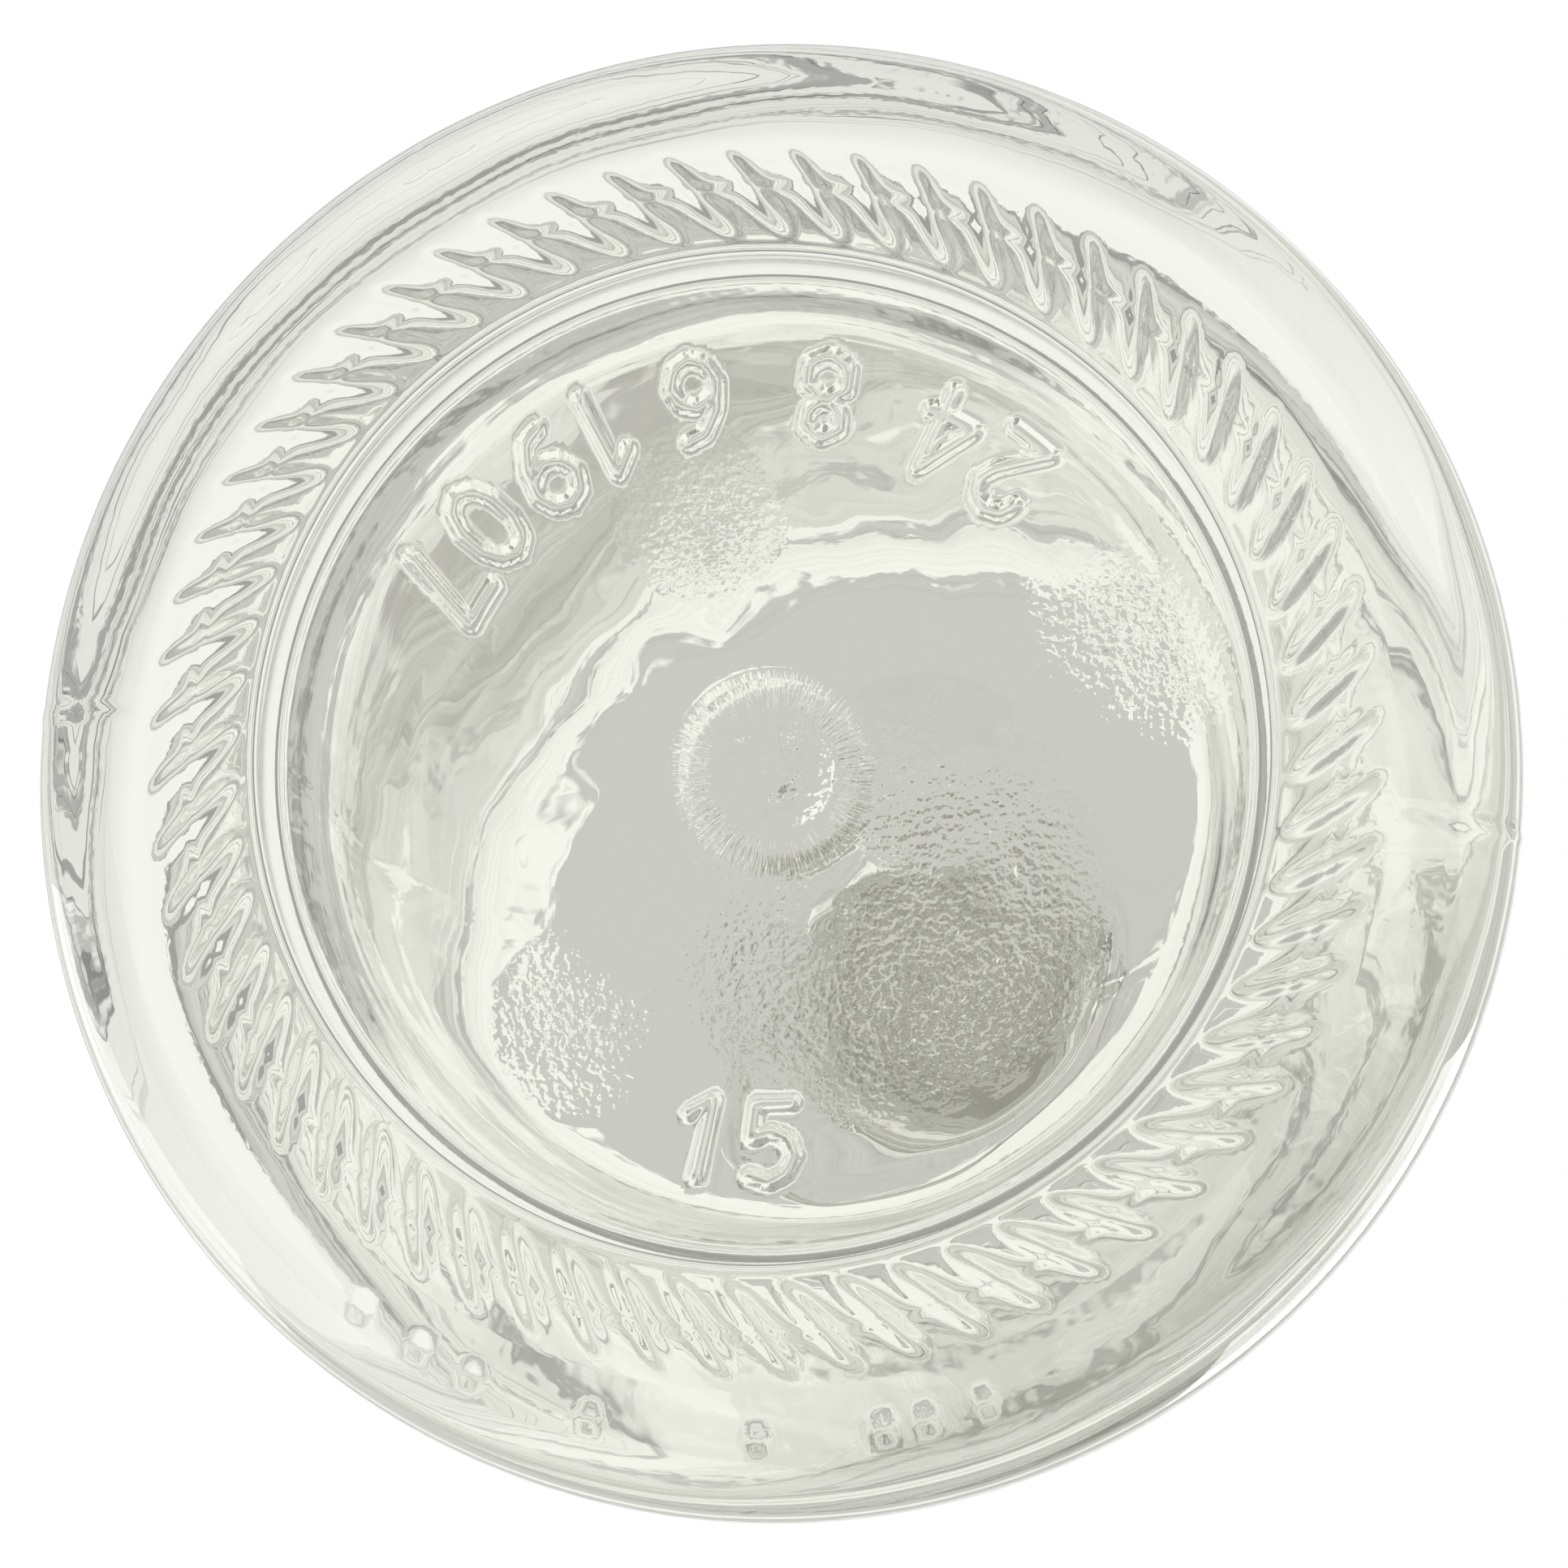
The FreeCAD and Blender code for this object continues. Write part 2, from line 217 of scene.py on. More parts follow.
def foot_spacing(r, z):
    if r < 25.5:
        return 0.30
    if r < 34.4:
        return 0.25
    return 0.6


def outer_spacing(r, z):
    if z < 60:
        return 1.8
    if z < 145:
        return 4.5
    if z < BEAD_BOTTOM - 2:
        return 2.8
    if r < MOUTH_RADIUS + 0.1:
        return 3.0
    return 0.85


def inner_spacing(r, z):
    if z > 140:
        return 3.0
    if z > 60:
        return 4.5
    if z > 24:
        return 1.8
    return 1.2


middle_rows = rows_along(middle_line, middle_spacing)
foot_rows = rows_along(foot_line, foot_spacing)
outer_rows = rows_along(outer_line, outer_spacing)
inner_rows = rows_along(inner_line, inner_spacing)
print("rows:", len(middle_rows), len(foot_rows), len(outer_rows), len(inner_rows))

# %% [markdown]
# ## The knurls
# Bottles stand on a ring of small slanting bars, so that the hot glass cools evenly and the
# wet base does not stick. Each bar is a long oval with rounded ends and a soft crest, and a
# fine line from the mould runs round through all of them. They could be boolean unions, but
# those leave ragged triangles that glass shows. Here the skin itself rises, and its columns
# lean over the ring at the slant of the bars, so that each bar lies along its own columns.

# %% Where the bars lie
KNURLS = 60
KNURL_LENGTH = 6.9
KNURL_WIDTH = 1.9
KNURL_HEIGHT = 0.45
KNURL_SLANT = math.radians(38.0)
KNURL_MIDDLE = 30.881
RING_EDGES = (27.2, 34.4)
PITCH = 2 * math.pi / KNURLS


def bar_angle(radius):
    """The angle at which the middle bar's crest line crosses each radius."""
    r = np.clip(radius, *RING_EDGES)
    across = KNURL_MIDDLE * math.sin(KNURL_SLANT)
    t = np.sqrt(r ** 2 - across ** 2) - KNURL_MIDDLE * math.cos(KNURL_SLANT)
    return np.arctan2(-t * math.sin(KNURL_SLANT), KNURL_MIDDLE + t * math.cos(KNURL_SLANT))


shift = np.degrees(bar_angle(np.array(RING_EDGES)))
print("the columns turn", round(float(shift[0] - shift[1]), 1), "degrees across the ring")


# %% How far the bars stand out
PARTING_RADIUS = 31.3
PARTING_RISE = 0.05
PARTING_HALF = 0.32


def fade(value, start, end):
    """A soft step from 0 at start to 1 at end."""
    share = np.clip((value - start) / (end - start), 0, 1)
    return share * share * (3 - 2 * share)


def ridge(distance, half_width):
    """A rounded ridge: 1 on its line and 0 at its half width."""
    return np.clip(1 - (distance / half_width) ** 2, 0, 1) ** 1.5


def knurl_height(r, angle):
    near = np.round((angle - bar_angle(r)) / PITCH)
    off = np.ones(r.shape)
    for step in (-1, 0, 1):
        turn = angle - (near + step) * PITCH
        x, y = r * np.cos(turn) - KNURL_MIDDLE, r * np.sin(turn)
        u = x * math.cos(KNURL_SLANT) - y * math.sin(KNURL_SLANT)
        v = x * math.sin(KNURL_SLANT) + y * math.cos(KNURL_SLANT)
        oval = np.sqrt(np.abs(2 * u / KNURL_LENGTH) ** 3 + (2 * v / KNURL_WIDTH) ** 2)
        off = np.minimum(off, oval)
    bars = KNURL_HEIGHT * (0.5 + 0.5 * np.cos(math.pi * off))
    parting = PARTING_RISE * ridge(r - PARTING_RADIUS, PARTING_HALF)
    return np.minimum(bars + parting, KNURL_HEIGHT)


crest = knurl_height(np.array([KNURL_MIDDLE]), np.array([0.0]))
print("a bar stands", float(crest[0]), "mm out at its middle")

# %% [markdown]
# ## Raised marks, dots and seams
# The mould also leaves plain raised numbers on an arc under the base, a round centre mark
# with a pip, a row of small dots on the heel, and a seam on each side where its halves met.
# Text objects would float on the dome, so each stroke is a soft ridge in the skin: a point
# is raised by its distance from the nearest stroke.

# %% Strokes of the plain numbers, in a box 0.6 wide and 1 high
STROKES = {
    "0": [[(.3, 1), (.5, .9), (.6, .65), (.6, .35), (.5, .1), (.3, 0), (.1, .1), (0, .35),
           (0, .65), (.1, .9), (.3, 1)]],
    "1": [[(.08, .78), (.34, 1), (.34, 0)]],
    "2": [[(.02, .74), (.1, .92), (.3, 1), (.5, .92), (.58, .74), (.5, .55), (.02, 0), (.6, 0)]],
    "4": [[(.44, 0), (.44, 1), (0, .3), (.62, .3)]],
    "5": [[(.56, 1), (.1, 1), (.06, .56), (.3, .64), (.52, .54), (.6, .32), (.5, .1),
           (.28, 0), (.04, .08)]],
    "6": [[(.52, .96), (.28, .9), (.08, .62), (0, .3), (.1, .08), (.3, 0), (.5, .08), (.6, .3),
           (.5, .5), (.3, .58), (.08, .48)]],
    "7": [[(0, 1), (.6, 1), (.24, 0)]],
    "8": [[(.3, .54), (.1, .66), (.08, .86), (.3, 1), (.52, .86), (.5, .66), (.3, .54),
           (.04, .38), (.04, .12), (.3, 0), (.56, .12), (.56, .38), (.3, .54)]],
    "9": [[(.08, .04), (.32, .1), (.52, .38), (.6, .7), (.5, .92), (.3, 1), (.1, .92), (0, .7),
           (.1, .5), (.3, .42), (.52, .52)]],
}
print("figures drawn:", "".join(STROKES))

# %% Where the numbers stand, in degrees clockwise from the top of the picture
MARK_ARC = 20.9
MARK_HEIGHT = 4.4
marks = [("2", 40.0), ("4", 28.5), ("8", 9.0), ("6", -11.0), ("1", -26.5), ("9", -36.5),
         ("0", -49.0), ("7", -60.0), ("1", 190.0), ("5", 179.5)]


def photo_angle(degrees_clockwise):
    """The angle about +Z of a place given clockwise from the top of the picture."""
    return math.radians(90.0 + degrees_clockwise)


def turn_between(angle, centre):
    return (angle - centre + math.pi) % (2 * math.pi) - math.pi


print("raised numbers:", "".join(figure for figure, _ in marks))

# %% How far the numbers stand out
STROKE_HALF = 0.62
STROKE_RISE = 0.42


def stroke_distance(x, y, stroke):
    best = np.full(x.shape, np.inf)
    for (ax, ay), (bx, by) in zip(stroke, stroke[1:]):
        dx, dy = bx - ax, by - ay
        share = np.clip(((x - ax) * dx + (y - ay) * dy) / (dx * dx + dy * dy), 0, 1)
        best = np.minimum(best, np.hypot(x - ax - share * dx, y - ay - share * dy))
    return best


def marks_height(r, angle):
    rise = np.zeros(r.shape)
    for figure, place in marks:
        turn = turn_between(angle, photo_angle(place))
        x = -r * turn / MARK_HEIGHT + 0.3
        y = -(r - MARK_ARC) / MARK_HEIGHT + 0.5
        close = (np.abs(x - 0.3) < 0.6) & (np.abs(y - 0.5) < 0.8)
        for stroke in STROKES[figure]:
            d = stroke_distance(x[close], y[close], stroke) * MARK_HEIGHT
            rise[close] = np.maximum(rise[close], STROKE_RISE * ridge(d, STROKE_HALF))
    return rise


print("a stroke is", 2 * STROKE_HALF, "mm wide and", STROKE_RISE, "mm high")

# %% Dots and seams on the heel
DOT_RADIUS = 36.8
DOT_RISE = 0.11
DOT_HALVES = (0.9, 0.7)
DOT_ARC = BODY_RADIUS * 0.89
dot_places = (216.0, 210.0, 205.0, 194.4, 180.2, 169.6, 166.0, 160.9)
SEAMS = (photo_angle(96.0), photo_angle(274.5))
HEEL_SEAM_RISE = 0.07
HEEL_SEAM_HALF = 0.55
HEEL_SEAM_FROM = 34.5
HEEL_TOP = 9.6


def heel_height(r, angle, z):
    rise = np.zeros(r.shape)
    for place in dot_places:
        along = DOT_ARC * turn_between(angle, photo_angle(place))
        off = np.hypot(along / DOT_HALVES[0], (r - DOT_RADIUS) / DOT_HALVES[1])
        rise = np.maximum(rise, DOT_RISE * ridge(off, 1.0))
    beyond_ring = np.clip((r - HEEL_SEAM_FROM) / 2, 0, 1)
    for seam in SEAMS:
        away = np.abs(turn_between(angle, seam)) * BODY_RADIUS
        rise = np.maximum(rise, HEEL_SEAM_RISE * ridge(away, HEEL_SEAM_HALF) * beyond_ring)
    return rise * (z < HEEL_TOP)


print("dots on the heel:", len(dot_places), "seams:", len(SEAMS))

# %% [markdown]
# ## The skin of the glass
# Blown glass is never quite even: the inside, which no mould touched, runs in slow waves, and
# they break the light under the base into ragged bright and grey patches. The waves are sums
# of sines round the bottle and along it, so they close on themselves and come out the same
# each time. The foot has four times as many columns as the rest, and a band of triangles
# joins the two. Its shading normals are worked out from the true slope of the surface and
# kept on the mesh, because averaged ones would dull the knurls.

# %% Columns round the bottle
FINE_PER_COARSE = 4
half_pitch = [0.18, 0.36, 0.54, 0.74]
other_half = [2 - share for share in reversed(half_pitch)]
one_bar = np.array([0.0] + half_pitch + [1.0] + other_half) * PITCH / 2
fine_angles = (np.arange(KNURLS)[:, None] * PITCH + one_bar[None, :]).ravel()
coarse_angles = fine_angles[::FINE_PER_COARSE]
print("columns:", len(fine_angles), "in the foot,", len(coarse_angles), "elsewhere")


# %% Slow waves: height in mm, turns round, turns per 100 mm along, start
def waves(angle, along, parts):
    total = np.zeros(np.broadcast(angle, along).shape)
    for height, around, lengthwise, start in parts:
        total += height * np.sin(around * angle + 2 * math.pi * lengthwise * along / 100 + start)
    return total


floor_waves = [(0.018, 2, 4.0, 0.4), (0.018, 3, -6.0, 1.9), (0.014, 5, 6.5, 3.1),
               (0.010, 7, -11.0, 0.8), (0.008, 11, 17.0, 2.2), (0.006, 17, -25.0, 4.0),
               (0.004, 23, 31.0, 5.1)]
wall_waves = [(0.10, 2, 0.7, 0.3), (0.07, 3, -1.1, 2.0), (0.04, 5, 1.7, 4.1),
              (0.02, 9, -2.3, 1.2), (0.015, 4, 9.0, 0.1), (0.008, 3, -16.0, 2.1)]
outer_waves = [(0.02, 3, 1.3, 0.9), (0.012, 7, -2.1, 2.6), (0.006, 12, 3.3, 4.4),
               (0.012, 2, 12.0, 0.6), (0.008, 3, -19.0, 3.3), (0.006, 1, 27.0, 1.4)]
base_waves = [(0.02, 2, 7.0, 1.0), (0.015, 4, -9.0, 2.7), (0.01, 9, 12.0, 0.2)]
print("waves inside:", len(floor_waves) + len(wall_waves))
print("waves outside:", len(outer_waves) + len(base_waves))


# %% Lift rows of the section into rings of points
def outward(rows):
    run = np.gradient(rows, axis=0)
    run /= np.linalg.norm(run, axis=1)[:, None]
    return np.stack([run[:, 1], -run[:, 0]], axis=1)


def ring_points(rows, angles, rise):
    face = outward(rows)
    r = rows[:, :1] + face[:, :1] * rise
    z = rows[:, 1:] + face[:, 1:] * rise
    r = np.maximum(r, 0)
    return np.stack([r * np.cos(angles), r * np.sin(angles), z + 0 * angles], axis=2)


print("the first row faces", outward(middle_rows)[0].round(2))

# %% The middle of the base, with its pip and crescent
PIP_PLACE = (1.1, 1.3)
PIP_RISE = 0.09
PIP_HALF = 1.6
CRESCENT_RADIUS = 2.1
CRESCENT_RISE = 0.16
CRESCENT_HALF = 1.5
CRESCENT_FACES = 105.0
CRESCENT_ENDS = (-0.3, 0.8)
MARK_CALM = (6.5, 10.0)
mr = middle_rows[:, :1]
middle_angles = coarse_angles[None, :] + bar_angle(np.array([[0.0]])) + 0 * mr
mx, my = mr * np.cos(middle_angles), mr * np.sin(middle_angles)
pip = PIP_RISE * ridge(np.hypot(mx - PIP_PLACE[0], my - PIP_PLACE[1]), PIP_HALF)
ring_way = turn_between(np.arctan2(my, mx), photo_angle(CRESCENT_FACES))
crescent = (CRESCENT_RISE * ridge(mr - CRESCENT_RADIUS, CRESCENT_HALF)
            * fade(np.cos(ring_way), *CRESCENT_ENDS))
middle_rise = pip + crescent + fade(mr, *MARK_CALM) * waves(middle_angles, mr, base_waves)
middle_points = ring_points(middle_rows, middle_angles, middle_rise)
print("the pip and crescent rise", round(float((pip + crescent).max()), 2), "mm at most")

# %% The foot, with its knurls, marks, dots and seams
RING_TOP = 0.75
HEEL_FROM = 31.0
BAR_ENDS_BELOW = 2.5
BASE_CALM = (24.0, 26.0)
fr, fz = foot_rows[:, :1], foot_rows[:, 1:]
foot_angles = fine_angles[None, :] + bar_angle(fr)
fr_full = fr + 0 * foot_angles
on_ring = (fz < RING_TOP) | ((fr > HEEL_FROM) & (fz < BAR_ENDS_BELOW))
foot_rise = (knurl_height(fr_full, foot_angles) * on_ring
             + marks_height(fr_full, foot_angles)
             + heel_height(fr_full, foot_angles, fz)
             + (1 - fade(fr, *BASE_CALM)) * waves(foot_angles, fr, base_waves))
foot_points = ring_points(foot_rows, foot_angles, foot_rise)
print("lowest point of the foot:", round(float(foot_points[..., 2].min()), 3), "mm")

# %% The true slope of the foot
full_turn = 2 * math.pi
foot_along = np.r_[0, np.cumsum(np.linalg.norm(np.diff(foot_rows, axis=0), axis=1))]
around = np.concatenate([fine_angles[-2:] - full_turn, fine_angles, fine_angles[:2] + full_turn])
closed = np.concatenate([foot_points[:, -2:], foot_points, foot_points[:, :2]], axis=1)
down_slope = np.gradient(foot_points, foot_along, axis=0)
round_slope = np.gradient(closed, around, axis=1)[:, 2:-2]
foot_normals = np.cross(round_slope, down_slope)
foot_normals /= np.linalg.norm(foot_normals, axis=2)[..., None]
print("normals worked out:", foot_normals.shape[0] * foot_normals.shape[1])

# %% Columns of the wall, drawn in towards the seams
SEAM_REACH = 5.2
plain_angles = coarse_angles + bar_angle(np.array([BODY_RADIUS]))
for seam in SEAMS:
    seam_column = np.argmin(np.abs(turn_between(plain_angles, seam)))
    away = turn_between(plain_angles, plain_angles[seam_column]) * BODY_RADIUS
    near = np.abs(away) < SEAM_REACH
    drawn_in = away * (0.2 + 0.8 * (away / SEAM_REACH) ** 2)
    plain_angles = plain_angles + np.where(near, drawn_in - away, 0) / BODY_RADIUS
print("closest columns:", round(float(np.diff(plain_angles).min() * BODY_RADIUS), 2), "mm apart")

# %% The outside of the wall
SEAM_RISE = 0.08
SEAM_HALF = 0.6
HEEL_CALM = (10.0, 16.0)
BEAD_CALM = (205.0, 209.0)
orr, oz = outer_rows[:, :1], outer_rows[:, 1:]
outer_angles = plain_angles[None, :] + 0 * orr
below_bead = 1 - fade(oz, *BEAD_CALM)
outer_rise = fade(oz, *HEEL_CALM) * below_bead * waves(outer_angles, oz, outer_waves)
for seam in SEAMS:
    centre = plain_angles[np.argmin(np.abs(turn_between(plain_angles, seam)))]
    away = np.abs(turn_between(outer_angles, centre)) * BODY_RADIUS
    outer_rise = outer_rise + SEAM_RISE * ridge(away, SEAM_HALF) * below_bead
outer_points = ring_points(outer_rows, outer_angles, outer_rise)
print("wall rows:", len(outer_rows))

# %% The inside
WALL_FROM = (24.0, 34.0)
NECK_CALM = (170.0, 186.0)
FLOOR_CALM = (1.5, 7.0)
ir, iz = inner_rows[:, :1], inner_rows[:, 1:]
inner_angles = plain_angles[None, :] + 0 * ir
on_wall = fade(iz, *WALL_FROM)
inner_rise = (on_wall * (1 - fade(iz, *NECK_CALM)) * waves(inner_angles, iz, wall_waves)
              + (1 - on_wall) * fade(ir, *FLOOR_CALM) * waves(inner_angles, ir, floor_waves))
inner_points = ring_points(inner_rows, inner_angles, inner_rise)
print("inside rows:", len(inner_rows))

# %% Ways to join rings of points
verts, faces = [], []


def join_even(low, high):
    count = len(low)
    for j in range(count):
        k = (j + 1) % count
        faces.append((low[j], low[k], high[k], high[j]))


def add_rings(points):
    """Adds rings of points, and the faces between them. Returns the first and last ring."""
    rings = []
    for ring in points:
        start = len(verts)
        verts.extend(ring.tolist())
        rings.append(range(start, start + len(ring)))
    for low, high in zip(rings, rings[1:]):
        join_even(low, high)
    return rings[0], rings[-1]


def join_uneven(coarse, fine, coarse_below):
    count = len(coarse)
    for j in range(count):
        a, b = coarse[j], coarse[(j + 1) % count]
        f = [fine[(FINE_PER_COARSE * j + s) % len(fine)] for s in range(FINE_PER_COARSE + 1)]
        fan = ((a, f[1], f[0]), (a, f[2], f[1]), (a, b, f[2]), (b, f[3], f[2]), (b, f[4], f[3]))
        for face in fan:
            faces.append(face if coarse_below else face[::-1])


def cap(centre_height, ring, first):
    verts.append([0, 0, centre_height])
    for j in range(len(ring)):
        k = (j + 1) % len(ring)
        pair = (ring[k], ring[j]) if first else (ring[j], ring[k])
        faces.append((len(verts) - 1,) + pair)


all_rows = [middle_rows, foot_rows, outer_rows, inner_rows]
print("ready to join", sum(len(rows) for rows in all_rows), "rows")

# %% One closed skin
base_first, base_last = add_rings(middle_points[1:])
foot_first, foot_last = add_rings(foot_points[1:])
wall_first, wall_last = add_rings(np.concatenate([outer_points[1:], inner_points[1:-1]]))
join_uneven(base_last, foot_first, True)
join_uneven(wall_first, foot_last, False)
cap(mark_top, base_first, True)
cap(FLOOR_CROWN, wall_last, False)
skin = bpy.data.meshes.new("bottle_glass")
skin.from_pydata([(x * MM, y * MM, z * MM) for x, y, z in verts], [], faces)
skin.validate()
print("glass skin:", len(skin.vertices), "points,", len(skin.polygons), "faces")

# %% Smooth shading, with the foot's true slope
skin.polygons.foreach_set("use_smooth", [True] * len(skin.polygons))
normals = np.zeros(3 * len(skin.vertices))
skin.vertices.foreach_get("normal", normals)
normals = normals.reshape(-1, 3)
normals[foot_first[0]:foot_last[-1] + 1] = foot_normals[1:].reshape(-1, 3)
skin.normals_split_custom_set_from_vertices(normals.tolist())
bottle = bpy.data.objects.new("bottle_glass", skin)
scene.collection.objects.link(bottle)
print("normals kept for points", foot_first[0], "to", foot_last[-1])

# %% The skin stands for the glass solid
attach(bottle, "bottle")
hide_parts("glass_bottle")
edge_use = np.zeros(len(skin.edges), int)
loops = np.zeros(len(skin.loops), int)
skin.loops.foreach_get("edge_index", loops)
np.add.at(edge_use, loops, 1)
print("edges not shared by two faces:", int((edge_use != 2).sum()))

# %% [markdown]
# ## The finish of the glass
# The glass is clear with a faint green from iron in the sand. The green shows only along long
# paths through the rim and heel, so it is an absorption inside the skin, not a paint on it.
# The mould was cool in places, and left a fine peel in a few spots under the base. Its round
# centre was brushed clean, and that left fine spokes. Both are finer than the skin's own
# columns, so a noise presses them in as bump, and masks keep them to their places.

# %% Nodes by short names
def new_finish(name):
    finish = bpy.data.materials.new(name)
    finish.use_nodes = True
    nodes, links = finish.node_tree.nodes, finish.node_tree.links
    return finish, nodes, links, nodes["Principled BSDF"]


def add_node(nodes, kind, **values):
    node = nodes.new(kind)
    for key, value in values.items():
        if key in node.inputs:
            node.inputs[key].default_value = value
        else:
            setattr(node, key, value)
    return node


print("finish helpers ready")

# %% Clear glass
glass, nodes, links, surface = new_finish("clear_bottle_glass")
surface.inputs["Base Color"].default_value = (0.990, 0.990, 0.952, 1)
surface.inputs["Roughness"].default_value = 0.0
surface.inputs["IOR"].default_value = 1.52
surface.inputs["Transmission Weight"].default_value = 1.0
inside = add_node(nodes, "ShaderNodeVolumeAbsorption", Density=12.0)
inside.inputs["Color"].default_value = (0.56, 0.63, 0.52, 1)
links.new(inside.outputs["Volume"], nodes["Material Output"].inputs["Volume"])
skin.materials.append(glass)
print("finish:", glass.name)


# %% Reckoning with nodes, in whichever finish is open
def put_in(sockets, values):
    for socket, value in zip(sockets, values):
        if isinstance(value, (float, tuple, Vector)):
            socket.default_value = value
        else:
            links.new(value, socket)


def reckon(operation, *values):
    node = add_node(nodes, "ShaderNodeMath", operation=operation)
    put_in(node.inputs, values)
    return node.outputs["Value"]


def reckon_vector(operation, *values):
    node = add_node(nodes, "ShaderNodeVectorMath", operation=operation)
    put_in(node.inputs, values)
    gives_number = operation in ("LENGTH", "DISTANCE", "DOT_PRODUCT")
    return node.outputs["Value" if gives_number else "Vector"]


def times(first, second):
    return reckon("MULTIPLY", first, second)


def either(first, second):
    return reckon("MAXIMUM", first, second)


def between(value, start, end, low=0.0, high=1.0, **settings):
    """A number that goes from low, where the value is start, to high, where it is end."""
    node = add_node(nodes, "ShaderNodeMapRange", **settings)
    for name, number in zip(("From Min", "From Max", "To Min", "To Max"), (start, end, low, high)):
        node.inputs[name].default_value = number
    links.new(value, node.inputs["Value"])
    return node.outputs["Result"]


print("reckoning helpers ready")


# %% Noise, bump and ramps, in whichever finish is open
def noise(place, **values):
    node = add_node(nodes, "ShaderNodeTexNoise", **values)
    links.new(place, node.inputs["Vector"])
    return node.outputs["Fac"]


def press_in(height, depth, strength=1.0, over=None):
    node = add_node(nodes, "ShaderNodeBump", Strength=strength, Distance=depth)
    links.new(height, node.inputs["Height"])
    if over is not None:
        links.new(over, node.inputs["Normal"])
    return node.outputs["Normal"]


def tone_ramp(value, stops):
    """A colour ramp through (place, colour) stops."""
    ramp = add_node(nodes, "ShaderNodeValToRGB")
    elements = ramp.color_ramp.elements
    while len(elements) < len(stops):
        elements.new(0.5)
    for element, (place, colour) in zip(elements, stops):
        element.position = place
        element.color = (*colour, 1)
    links.new(value, ramp.inputs["Fac"])
    return ramp.outputs["Color"]


print("texture helpers ready")

# %% Where a point of the glass lies
glass_place = add_node(nodes, "ShaderNodeTexCoord").outputs["Object"]
axes = add_node(nodes, "ShaderNodeSeparateXYZ")
flat = add_node(nodes, "ShaderNodeCombineXYZ")
links.new(glass_place, axes.inputs["Vector"])
links.new(axes.outputs["X"], flat.inputs["X"])
links.new(axes.outputs["Y"], flat.inputs["Y"])
flat_place = flat.outputs["Vector"]
from_axis = reckon_vector("LENGTH", flat_place)


def around_spot(x, y, full, none):
    """A share that is 1 within `full` mm of a spot under the base, and 0 beyond `none` mm."""
    away = reckon_vector("DISTANCE", flat_place, (x * MM, y * MM, 0))
    return between(away, none * MM, full * MM)


BASE_EDGE = (26.5 * MM, 25.0 * MM)
BASE_TOP = (13.0 * MM, 11.0 * MM)
under_base = times(between(from_axis, *BASE_EDGE), between(axes.outputs["Z"], *BASE_TOP))
print("the base finish ends", round(BASE_EDGE[0] / MM, 1), "mm from the axis")

# %% The peel, in a few spots
PEEL_DEPTH = 0.1 * MM
peel_spots = [(-5.5, -6.5, 8.0, 14.0), (9.5, -14.0, 1.0, 6.0),
              (-20.5, 7.0, 2.0, 7.0), (4.0, 14.5, 1.0, 5.0)]
peel = noise(glass_place, Scale=2100.0, Detail=1.0, Roughness=0.5)
patch = noise(glass_place, Scale=110.0, Detail=3.0)
worn = around_spot(*peel_spots[0])
for spot in peel_spots[1:]:
    worn = either(worn, around_spot(*spot))
worn = times(times(worn, between(patch, 0.36, 0.56)), under_base)
peeled = press_in(times(peel, worn), PEEL_DEPTH)
print("spots with peel:", len(peel_spots))

# %% The brushed ring round the centre mark
BRUSH_DEPTH = 0.06 * MM
SPOKES = (26.0, 26.0, 0.0)
SPOKE_DRIFT = 700.0
BRUSH_INNER = (3.4 * MM, 4.0 * MM)
BRUSH_OUTER = (6.0 * MM, 5.4 * MM)
along_spoke = add_node(nodes, "ShaderNodeCombineXYZ")
links.new(times(from_axis, SPOKE_DRIFT), along_spoke.inputs["Z"])
spoke = reckon_vector("NORMALIZE", flat_place)
spoke_place = reckon_vector("MULTIPLY_ADD", spoke, SPOKES, along_spoke.outputs["Vector"])
brushed = noise(spoke_place, Scale=1.0, Detail=2.0)
brush_ring = times(between(from_axis, *BRUSH_INNER), between(from_axis, *BRUSH_OUTER))
brush_height = times(times(brushed, brush_ring), under_base)
links.new(press_in(brush_height, BRUSH_DEPTH, over=peeled), surface.inputs["Normal"])
print("nodes in the glass:", len(nodes))

# %% [markdown]
# ## Wire, porcelain and rubber
# The closure's solids are already the right shape, so they stay, and only their finish is
# made here. Drawn wire has a fine uneven grain and a dull bright shine, the stopper has a
# thick glaze over slightly cloudy white, and the washer is pale matt rubber with a little
# mottling. Each could be one flat colour, but then nothing would tell them from plastic.

# %% Bright drawn wire
wire, nodes, links, surface = new_finish("bright_drawn_wire")
wire_place = add_node(nodes, "ShaderNodeTexCoord").outputs["Object"]
lines = noise(wire_place, Scale=900.0, Detail=3.0, Roughness=0.6)
wire_tone = tone_ramp(lines, [(0.0, (0.50, 0.50, 0.49)), (1.0, (0.68, 0.68, 0.67))])
links.new(wire_tone, surface.inputs["Base Color"])
links.new(between(lines, 0.0, 1.0, 0.20, 0.38), surface.inputs["Roughness"])
links.new(press_in(lines, 0.02 * MM, 0.25), surface.inputs["Normal"])
surface.inputs["Metallic"].default_value = 1.0
print("finish:", wire.name)

